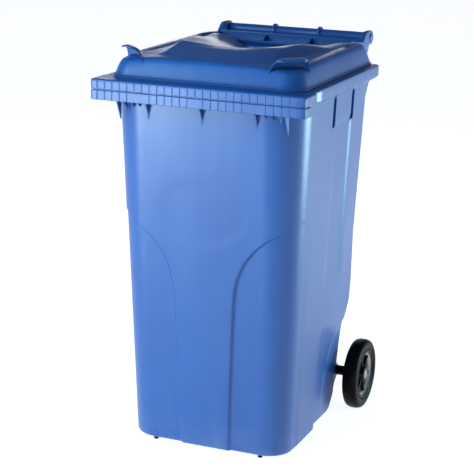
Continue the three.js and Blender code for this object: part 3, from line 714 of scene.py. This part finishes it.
def comb_ribs():
    """Gusset plates behind and below the comb."""
    plates = [(0, 99), (PAD_SPACING, 99), (171, 72), (190, 74), (210, 80), (228, 107)]
    made = []
    for x, drop in plates:
        low = RIM_TOP - drop
        outline = [
            (COMB_PLATE, RIM_TOP - 1), (COMB_PLATE, COMB_LOW + 6), (COMB_PLATE + 19, COMB_LOW - 1),
            (wall_front(low) + 4, low), (wall_front(RIM_TOP) + 4, RIM_TOP - 1),
        ]
        plate = prism_x("rib", outline, x - GUSSET_THICK / 2, x + GUSSET_THICK / 2)
        made += [plate, mirrored(plate)] if x else [plate]
    return made


# ---- Side slots ----
def slot_outline(y, grow):
    r = SLOT_WIDTH / 2 + grow
    low, high = SLOT_LOW + SLOT_WIDTH / 2, SLOT_HIGH - SLOT_WIDTH / 2
    return arc(y, high, r, 0, 180, 14) + arc(y, low, r, 180, 360, 14)


def slot_pocket(y, grow):
    deepest = wall_half(SLOT_LOW) - SLOT_DEPTH
    outside = wall_half(SLOT_LOW) - SKIN / 2 if grow else wall_half(SLOT_HIGH) + 5
    return prism_x("slot", slot_outline(y, grow), deepest - grow, outside)


# ---- Handle bar, brackets and axle carriers ----
def bar_with_rings():
    """The tubular bar with the two low collars where the middle brackets meet it."""
    profile = [(BAR_RADIUS - 1, -BAR_HALF), (BAR_RADIUS, -BAR_HALF + 1)]
    for x in (-BRACKET_X[0], BRACKET_X[0]):
        profile += [
            (BAR_RADIUS, x - 8), (BAR_RADIUS + 0.6, x - 5.6), (RING_RADIUS - 1, x - 4.6),
            (RING_RADIUS, x - 3.6), (RING_RADIUS, x + 3.6), (RING_RADIUS - 1, x + 4.6),
            (BAR_RADIUS + 0.6, x + 5.6), (BAR_RADIUS, x + 8),
        ]
    profile += [(BAR_RADIUS, BAR_HALF - 1), (BAR_RADIUS - 1, BAR_HALF)]
    return lathe_x("bar", profile, BAR_Y, BAR_Z, 56)


def bracket(x):
    wall = wall_rear(RIM_TOP) - 2
    outline = [
        (wall, BRACKET_HIGH), (BAR_Y - 74, BRACKET_HIGH), (BAR_Y - 48, 986), (BAR_Y - 20, 1000),
        (BAR_Y - 12, BAR_Z - 4),
        (BAR_Y + 12, BAR_Z - 4), (BAR_Y + 7, 1015), (BAR_Y - 5, 996), (BAR_Y - 9, 972), (BAR_Y - 22, 945),
        (BAR_Y - 74, 880), (wall, BRACKET_LOW),
    ]
    plate = prism_x("bracket", outline, x - BRACKET_THICK / 2, x + BRACKET_THICK / 2)
    return bevelled(plate, 1.5, 2)


def axle_carrier():
    wall = wall_rear(WHEEL_RADIUS) - 3
    inner, outer = CARRIER_X
    outline = arc(AXLE_Y, WHEEL_RADIUS, CARRIER_RADIUS, -60, 60, 14)
    outline += [(wall, WHEEL_RADIUS + CARRIER_REACH), (wall, WHEEL_RADIUS - CARRIER_REACH)]
    profile = [(CARRIER_RADIUS - 1, inner), (CARRIER_RADIUS, inner + 1)]
    profile += [(CARRIER_RADIUS, outer - 1), (CARRIER_RADIUS - 1, outer)]
    boss = lathe_x("boss", profile, AXLE_Y, WHEEL_RADIUS, 48)
    starts = (inner, outer - CARRIER_PLATE)
    plates = [bevelled(prism_x("plate", outline, x, x + CARRIER_PLATE), 1.0, 2) for x in starts]
    return [boss, *plates]


def rod(name, radius, x0, x1, y, z, segments=40):
    return lathe_x(name, [(radius, x0), (radius, x1)], y, z, segments)


def container():
    body = outer_wall()
    combine(body, [inner_wall()], "DIFFERENCE")
    backs = both_sides([slot_pocket(y, SKIN) for y in SLOT_Y])
    strip = comb_strip()
    return_cut = comb_return_cut()
    combine(strip, both_sides([return_cut]), "DIFFERENCE")
    brackets = both_sides([bracket(x) for x in BRACKET_X])
    carriers = both_sides(axle_carrier())
    added = [strip, comb_top(), *comb_ribs(), *backs, *brackets, bar_with_rings(), *carriers]
    combine(body, added, "UNION")
    bore = rod("bore", PIN_BORE, BAR_HALF - PIN_DEPTH, BAR_HALF + 1, BAR_Y, BAR_Z)
    bore_end = CARRIER_X[1] + 1
    axle_bore = rod("axle_bore", AXLE_BORE, -bore_end, bore_end, AXLE_Y, WHEEL_RADIUS)
    slots = both_sides([slot_pocket(y, 0) for y in SLOT_Y] + [bore])
    combine(body, [*slots, *rim_pockets(), axle_bore], "DIFFERENCE")
    return finish_piece(body, "container", ["container"], MATERIALS["blue_plastic"])


# ---- Lid ----
def lid_ring(inset):
    half = LID_HALF - inset
    front = LID_FRONT + inset
    rear = LID_REAR - inset
    nose = max(52 - inset * 0.6, min(14, half * 0.5))
    tail = max(36 - inset * 0.5, min(10, half * 0.4))
    across = [(t * (half - nose), front) for t in np.linspace(0, 1, 30)]
    side = [(half, y) for y in np.linspace(front + nose, rear - tail, 74)[1:]]
    back = [(t * (half - tail), rear) for t in np.linspace(1, 0, 22)[1:]]
    right = across + arc(half - nose, front + nose, nose, -90, 0, 10)[1:]
    right += side + arc(half - tail, rear - tail, tail, 0, 90, 8)[1:] + back
    return np.array(right + [(-x, y) for x, y in right[1:-1][::-1]])


def panel_lift(x, y):
    """Height of the raised panel above the shoulder."""
    side = np.abs(x)
    toe = np.interp(side, [0, 50, 100, 150, 172, 190], [60, 68, 90, 116, 150, 205])
    front = soft_ramp(y, toe, np.maximum(RIDGE_Y, toe + 25), 3.0)
    far = ramp(y, RIDGE_Y, 420)
    across = 1 - soft_ramp(side, lerp(143, 165, far), lerp(178, 196, far), 3.0)
    away = 1 - smooth(y, 290, 525)
    return PANEL_RISE * front * across * away


def saddled(x, y, height):
    """The height with the saddle in it: it dips in the front ridge and falls to the hinge."""
    far = ramp(y, RIDGE_Y, LID_REAR - 10)
    middle = lerp(SHOULDER + PANEL_RISE - RIDGE_DIP, VALLEY_LOW, far)
    lower = np.minimum(height, middle)
    floor_height = lower - CREASE * np.log1p(np.exp(-np.abs(height - middle) / CREASE))
    across = 1 - smooth(np.abs(x), lerp(10, 60, far), lerp(150, 192, far))
    return lerp(height, floor_height, across)


def gutter(x, y):
    """A shallow gutter between the raised panel and the shoulder on each side."""
    across = np.exp(-(((np.abs(x) - GUTTER_X) / 9) ** 2))
    return GUTTER_DEPTH * across * smooth(y, 150, 200) * (1 - smooth(y, 500, 560))


def skirt_rise(inset):
    insets = [0, 1.5, 3, 5, 8, 12, 15.5, 19, 24, 30, 37, 45, 58, 75]
    rise = [5, 5.9, 7.5, 13, 22.5, 33.5, 42, 49, 53.4, 54.8, 55.4, 55.7, 56, 56]
    return float(np.interp(inset, insets, rise))


def lid_top(plan, inset):
    x, y = plan[:, 0], plan[:, 1]
    corner = smooth(np.abs(x), 120, 250) * (1 - smooth(y, 60, 210)) * smooth(inset, 6, 24)
    rise = skirt_rise(inset) - CORNER_DROP * corner
    shaped = saddled(x, y, rise + panel_lift(x, y)) - gutter(x, y)
    return RIM_TOP + lerp(rise, shaped, smooth(inset, 14, 26))


def lid_shell():
    insets = [0, 0.7, 1.5, 2.4, 3.4, 5, 7, 9.5, 12, 15.5, 19, 22, 26, 30, 35, 40]
    insets += list(np.linspace(45, LID_HALF - 6, 56))
    top, below = [], []
    for inset in insets:
        plan = lid_ring(inset)
        top.append(np.column_stack([plan, lid_top(plan, inset)]))
    under = [inset for inset in insets if inset < LID_HALF - 12]
    for inset in under:
        plan = lid_ring(inset + LID_SKIN)
        below.append(np.column_stack([plan, lid_top(plan, inset) - LID_SKIN]))
    base = lid_ring(0)
    rim = np.column_stack([base, np.full(len(base), RIM_TOP + LID_GAP)])
    inside = lid_ring(LID_SKIN)
    mouth = np.column_stack([inside, np.full(len(inside), RIM_TOP + LID_GAP - 5)])
    shell = loft("lid_shell", [rim, *top])
    return combine(shell, [loft("hollow", [mouth, *below])], "DIFFERENCE")


def lid_arm():
    """An arm from the lid's surface to the hinge line."""
    outline = [
        (BAR_Y - 224, RIM_TOP + 44), (BAR_Y - 160, RIM_TOP + 40), (BAR_Y - 110, RIM_TOP + 12),
        (BAR_Y - 60, RIM_TOP + 9), (BAR_Y - 26, RIM_TOP + 15), (BAR_Y - 12, BAR_Z - 16),
    ]
    outline += arc(BAR_Y, BAR_Z, LUG_RADIUS, -90, 92, 24)
    outline += [(BAR_Y - 36, RIM_TOP + 75), (BAR_Y - 48, RIM_TOP + 70), (BAR_Y - 60, RIM_TOP + 59)]
    outline += [(BAR_Y - 70, RIM_TOP + 51), (BAR_Y - 84, RIM_TOP + 53), (BAR_Y - 130, RIM_TOP + 58)]
    outline += [(BAR_Y - 190, RIM_TOP + 60), (BAR_Y - 240, RIM_TOP + 50)]
    return bevelled(prism_x("arm", outline, ARM_INNER, ARM_INNER + ARM_THICK), 2.0, 3)


def lid_web():
    """The web that closes the lid's rear edge and ends in a low upstand."""
    end, top = RIM_DEPTH + WEB_REACH, RIM_TOP + WEB_TOP
    outline = [
        (LID_REAR - 30, RIM_TOP + 14), (LID_REAR - 3, RIM_TOP + 12), (end - 4, RIM_TOP + 20),
        (end, RIM_TOP + 20), (end, top), (end - 4, top), (end - 4, RIM_TOP + 26),
        (LID_REAR - 12, RIM_TOP + 20), (LID_REAR - 30, RIM_TOP + 26),
    ]
    half = ARM_INNER + 2
    return bevelled(prism_x("web", outline, -half, half), 0.8, 2)


def web_ribs():
    """Ribs that stiffen the web's upstand, in line with the middle brackets."""
    behind, top = RIM_DEPTH + WEB_REACH - 2, RIM_TOP + WEB_TOP - 4
    outline = [(LID_REAR - 20, RIM_TOP + 18), (behind, RIM_TOP + 22), (behind, top), (behind - 22, top - 6)]
    return [prism_x("web_rib", outline, x - 2, x + 2) for x in (-BRACKET_X[0], BRACKET_X[0])]


def lid_grip():
    """A hooded finger grip that rises from the corner of the lid and curls outwards."""
    out = np.array([-4.0, -2.0, -0.5, 1.5, 4.5, 9.0, 14.0, 19.5, 24.0])
    up = np.array([-10.0, 6.0, 16.0, 25.0, 32.0, 36.5, 38.8, 39.0, 37.6])
    wide = np.array([57.0, 55.0, 53.0, 50.0, 46.5, 43.0, 40.0, 36.0, 28.0])
    thick = np.array([5.0, 4.2, 3.8, 3.6, 3.6, 3.4, 3.2, 3.0, 2.2])
    fine = np.linspace(0, 8, 29)
    out, up, wide, thick = (np.interp(fine, range(9), values) for values in (out, up, wide, thick))
    slope = np.stack([np.gradient(out), np.gradient(up)], 1)
    slope /= np.linalg.norm(slope, axis=1)[:, None]
    across = np.linspace(-1, 1, 29)
    rings = []
    for i in range(len(fine)):
        bow = 9 * across**4
        outer = [(s * wide[i], out[i] + bow[k], up[i] - 3 * abs(s) ** 5) for k, s in enumerate(across)]
        shift = slope[i] * thick[i]
        inner = [(x * 0.985, o - shift[1], u + shift[0]) for x, o, u in outer]
        rings.append(outer + inner[::-1])
    rings = np.array(rings)
    turned = np.empty_like(rings)
    diagonal = math.sqrt(0.5)
    turned[..., 0] = (rings[..., 0] + rings[..., 1]) * diagonal + LID_HALF - GRIP_INSET
    turned[..., 1] = (rings[..., 0] - rings[..., 1]) * diagonal + LID_FRONT + GRIP_INSET
    turned[..., 2] = rings[..., 2] + RIM_TOP + GRIP_LIFT
    return face_outward(loft("grip", turned))


def lid():
    shell = lid_shell()
    grip = lid_grip()
    joined = [lid_web(), *web_ribs(), *both_sides([lid_arm(), grip])]
    combine(shell, joined, "UNION")
    bore = rod("bore", PIN_BORE, BAR_HALF, ARM_INNER + ARM_THICK + 1, BAR_Y, BAR_Z)
    combine(shell, both_sides([bore]), "DIFFERENCE")
    shell.name = "lid_moulding"
    return finish_piece(shell, "lid", ["lid"], MATERIALS["blue_plastic"])


# ---- Wheels ----
def rounded(profile, radius, steps=4):
    """The same closed profile with its corners rounded."""
    points = np.array(profile, float)
    made = []
    for i, point in enumerate(points):
        before, after = points[i - 1] - point, points[(i + 1) % len(points)] - point
        reach = min(radius, np.linalg.norm(before) * 0.45, np.linalg.norm(after) * 0.45)
        a = point + before / np.linalg.norm(before) * reach
        b = point + after / np.linalg.norm(after) * reach
        for t in np.linspace(0, 1, steps + 1):
            made.append(tuple((1 - t) ** 2 * a + 2 * t * (1 - t) * point + t**2 * b))
    return made


def tyre(side):
    seat = WHEEL_RADIUS - TYRE_WALL
    low, high, radius = TYRE_INNER_X, TYRE_OUTER_X, WHEEL_RADIUS
    corner = [(radius - 13, high), (radius - 4, high - 3.4), (radius, high - 13)]
    profile = [(seat, low + 2), (radius - 13, low), (radius - 4, low + 3.4), (radius, low + 13)]
    profile += corner[::-1] + [(seat, high - 2)]
    return lathe_x("tyre_rubber_" + side, rounded(profile, 7), AXLE_Y, WHEEL_RADIUS, 112, closed=True)


def hub_sizes():
    """The hub's ends, its middle, the radius of its seat and that of the hole for the cap."""
    low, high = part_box("wheel_hub_right")[0].x / MM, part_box("wheel_hub_right")[1].x / MM
    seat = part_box("wheel_hub_right")[1].z / MM - WHEEL_RADIUS
    middle = (low + high) / 2
    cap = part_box("hub_cap_right")[1].z / MM - WHEEL_RADIUS + 0.3
    return low, high, middle, seat, cap


def hub(side):
    """The wheel's centre: a rim with a step in it, a dished web with ribs, and the boss."""
    low, high, middle, seat, cap = hub_sizes()
    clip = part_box("retaining_clip_right")[0].x / MM - 0.3
    profile = [
        (AXLE_BORE, low), (24, low), (25, middle - 4), (seat - 8, middle - 6), (seat - 6, low),
        (seat, low), (seat, high), (seat - 3, high), (seat - 4, high - 2), (seat - 9, high - 2.5),
        (seat - 11, middle + 7), (26, middle + 4), (22, high - 4), (20, high), (cap, high),
        (cap, clip), (AXLE_BORE, clip),
    ]
    name = "wheel_hub_moulding_" + side
    obj = lathe_x(name, rounded(profile, 1.6, 3), AXLE_Y, WHEEL_RADIUS, 96, closed=True)
    ribs = []
    for i in range(6):
        outline = [(-1.8, 19), (1.8, 19), (2.4, seat - 8), (-2.4, seat - 8)]
        rib = prism_x("rib", outline, middle, high - 7)
        rib.data.transform(Matrix.Translation((0, -FRONT_Y, 0)))
        rib.data.transform(Matrix.Rotation(math.radians(60 * i + 15), 4, "X"))
        centre = to_frame([0, AXLE_Y, WHEEL_RADIUS])
        rib.data.transform(Matrix.Translation(Vector(centre)))
        ribs.append(bevelled(rib, 0.8, 2))
    return combine(obj, ribs, "UNION")


def hub_cap(side):
    low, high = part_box("hub_cap_right")[0].x / MM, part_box("hub_cap_right")[1].x / MM
    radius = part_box("hub_cap_right")[1].z / MM - WHEEL_RADIUS
    profile = [(radius, low), (radius, high - 2), (radius - 0.6, high - 0.9), (radius - 2, high - 0.2)]
    profile += [(radius - 4, high), (4.2, high - 0.4), (3.2, high - 1.2), (1.0, high - 1.4)]
    return lathe_x("hub_cap_moulding_" + side, profile, AXLE_Y, WHEEL_RADIUS, 64)


def wheels():
    builders = [
        (tyre, "tyre", "tyre_rubber"),
        (hub, "wheel_hub", "black_plastic"),
        (hub_cap, "hub_cap", "grey_plastic"),
    ]
    for builder, node, slot in builders:
        right = builder("right")
        left = mirrored(right)
        left.name = right.name.replace("right", "left")
        finish_piece(right, "wheel_right", [node + "_right"], MATERIALS[slot])
        finish_piece(left, "wheel_left", [node + "_left"], MATERIALS[slot])


# ---- Small turned pieces ----
def turned_pair(name, node, profile, y, z, slot, closed):
    right = lathe_x(name + "_right", profile, y, z, 56, closed)
    left = mirrored(right)
    left.name = name + "_left"
    finish_piece(right, "container", [node + "_right"], MATERIALS[slot])
    finish_piece(left, "container", [node + "_left"], MATERIALS[slot])


def ring_profile(node, inner, round_by):
    low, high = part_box(node + "_right")
    outer = (high.z - low.z) / 2 / MM
    x0, x1 = low.x / MM, high.x / MM
    return rounded([(inner, x0), (outer, x0), (outer, x1), (inner, x1)], round_by, 3)


def running_gear():
    axle_low, axle_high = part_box("axle")
    radius, half = (axle_high.z - axle_low.z) / 2 / MM, axle_high.x / MM
    profile = [(radius - 1, -half), (radius, -half + 1), (radius, half - 1), (radius - 1, half)]
    axle = lathe_x("axle_rod", profile, AXLE_Y, WHEEL_RADIUS, 56)
    finish_piece(axle, "container", ["axle"], MATERIALS["steel"])
    for name, node, slot, round_by in (
        ("sleeve", "spacer_sleeve", "black_plastic", 1.0),
        ("thrust_washer", "washer", "steel", 0.5),
        ("clip_ring", "retaining_clip", "steel", 0.5),
    ):
        profile = ring_profile(node, radius + 0.3, round_by)
        turned_pair(name, node, profile, AXLE_Y, WHEEL_RADIUS, slot, True)


def hinge_pins():
    low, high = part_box("hinge_pin_right")
    x0, x1 = low.x / MM, high.x / MM
    head = (high.z - low.z) / 2 / MM
    profile = [(7, x0), (8, x0 + 1), (8, x1 - 2.5), (head, x1 - 2.5), (head, x1 - 1), (head - 1, x1 - 0.2)]
    profile += [(head - 2.5, x1), (head - 5, x1 - 0.2), (2, x1 - 0.6)]
    turned_pair("hinge_pin_headed", "hinge_pin", profile, BAR_Y, BAR_Z, "blue_plastic", False)


def feet():
    for node in [name for name in frame["nodes"] if name.startswith("foot_")]:
        low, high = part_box(node)
        x, y = (low.x + high.x) / 2 / MM, ((low.y + high.y) / 2 - FRONT_Y) / MM
        radius = (high.x - low.x) / 2 / MM
        stud = [(0.1, 0), (radius - 3, 0), (radius - 1, 0.7), (radius, 2.2), (radius, 6.6)]
        stud += [(radius - 0.6, 7.6), (4, 7.7), (4, high.z / MM)]
        points, faces, count = [], [], 40
        for r, z in stud:
            points += [(x + px, y + py, z) for px, py in arc(0, 0, r, 0, 360 - 360 / count, count - 1)]
        rings = np.array(points).reshape(len(stud), count, 3)
        obj = loft(node.replace("foot", "stud"), rings)
        finish_piece(face_outward(obj), "container", [node], MATERIALS["black_plastic"])


# ---- Camera, floor and light, in metres ----
CAMERA_PLACE = (1.51693, -3.77152, 1.61711)
CAMERA_ANGLES = (22.32, 15.05, 1.18)  # azimuth, elevation and roll in degrees
CAMERA_LENS = 116.5
FLOOR_HALF = 40.0


def camera():
    data = bpy.data.cameras.new("camera")
    data.lens = CAMERA_LENS
    data.sensor_width = 36.0
    data.clip_end = 100.0
    obj = bpy.data.objects.new("camera", data)
    bpy.context.scene.collection.objects.link(obj)
    azimuth, elevation, roll = (math.radians(a) for a in CAMERA_ANGLES)
    level = math.cos(elevation)
    back = Vector((math.sin(azimuth) * level, -math.cos(azimuth) * level, math.sin(elevation)))
    right = Vector((math.cos(azimuth), math.sin(azimuth), 0))
    up = back.cross(right)
    turned_right = right * math.cos(roll) + up * math.sin(roll)
    turned_up = up * math.cos(roll) - right * math.sin(roll)
    rotation = Matrix((turned_right, turned_up, back)).transposed()
    obj.matrix_world = Matrix.Translation(CAMERA_PLACE) @ rotation.to_4x4()
    bpy.context.scene.camera = obj


def floor():
    mesh = bpy.data.meshes.new("floor")
    size = FLOOR_HALF
    corners = [(-size, -size, 0), (size, -size, 0), (size, size, 0), (-size, size, 0)]
    mesh.from_pydata(corners, [], [(0, 1, 2, 3)])
    obj = bpy.data.objects.new("floor", mesh)
    bpy.context.scene.collection.objects.link(obj)
    material = bpy.data.materials.new("pale_floor")
    material.use_nodes = True
    shader = material.node_tree.nodes["Principled BSDF"]
    socket(shader, "Base Color", (0.86, 0.87, 0.88, 1))
    socket(shader, "Roughness", 0.9)
    socket(shader, "Specular IOR Level", 0.2)
    socket(shader, "Emission Color", (1, 1, 1, 1))
    socket(shader, "Emission Strength", 0.85)
    mesh.materials.append(material)


def area_light(name, place, aim, width, height, power, colour=(1, 1, 1)):
    data = bpy.data.lights.new(name, "AREA")
    data.shape = "RECTANGLE"
    data.size, data.size_y = width, height
    data.energy = power
    data.color = colour
    obj = bpy.data.objects.new(name, data)
    obj.location = place
    obj.rotation_mode = "QUATERNION"
    obj.rotation_quaternion = (Vector(aim) - Vector(place)).to_track_quat("-Z", "Y")
    bpy.context.scene.collection.objects.link(obj)
    return obj


def studio():
    """A soft room, bright round the horizon and dim overhead, with four panels of light and a fill.

    Reflections don't show the fill.
    """
    world = bpy.data.worlds.new("studio")
    bpy.context.scene.world = world
    world.use_nodes = True
    tree = world.node_tree
    background = tree.nodes["Background"]
    background.inputs["Color"].default_value = (0.78, 0.88, 1.0, 1)
    place = tree.nodes.new("ShaderNodeTexCoord")
    split = tree.nodes.new("ShaderNodeSeparateXYZ")
    tree.links.new(place.outputs["Generated"], split.inputs[0])
    spread = tree.nodes.new("ShaderNodeMapRange")
    for name, value in (("From Min", 0.03), ("From Max", 0.24), ("To Min", 1.0), ("To Max", 0.14)):
        spread.inputs[name].default_value = value
    tree.links.new(split.outputs["Z"], spread.inputs["Value"])
    tree.links.new(spread.outputs["Result"], background.inputs["Strength"])
    cool = (0.6, 0.9, 1.0)
    area_light("left_panel", (-1.8, -2.35, 1.95), (0, -0.2, 0.8), 1.1, 1.1, 40, cool)
    area_light("low_front_card", (-1.45, -2.3, 0.45), (-0.2, -0.37, 0.95), 0.9, 0.34, 49, (0.75, 0.95, 1.0))
    area_light("right_panel", (2.9, 1.9, 0.35), (0.2, 0.1, 0.3), 1.2, 0.6, 95, (0.55, 0.9, 1.0))
    fill = area_light("lid_fill", (-0.5, -1.7, 2.7), (0, -0.1, 1.02), 0.9, 0.9, 30, (0.8, 0.85, 1.0))
    fill.visible_glossy = False
    area_light("rear_strip", (-1.5, 3.4, 1.3), (0, 0, 1.0), 2.6, 0.22, 13)
    bpy.context.scene.view_settings.view_transform = "Standard"


container()
lid()
wheels()
running_gear()
hinge_pins()
feet()
camera()
floor()
studio()
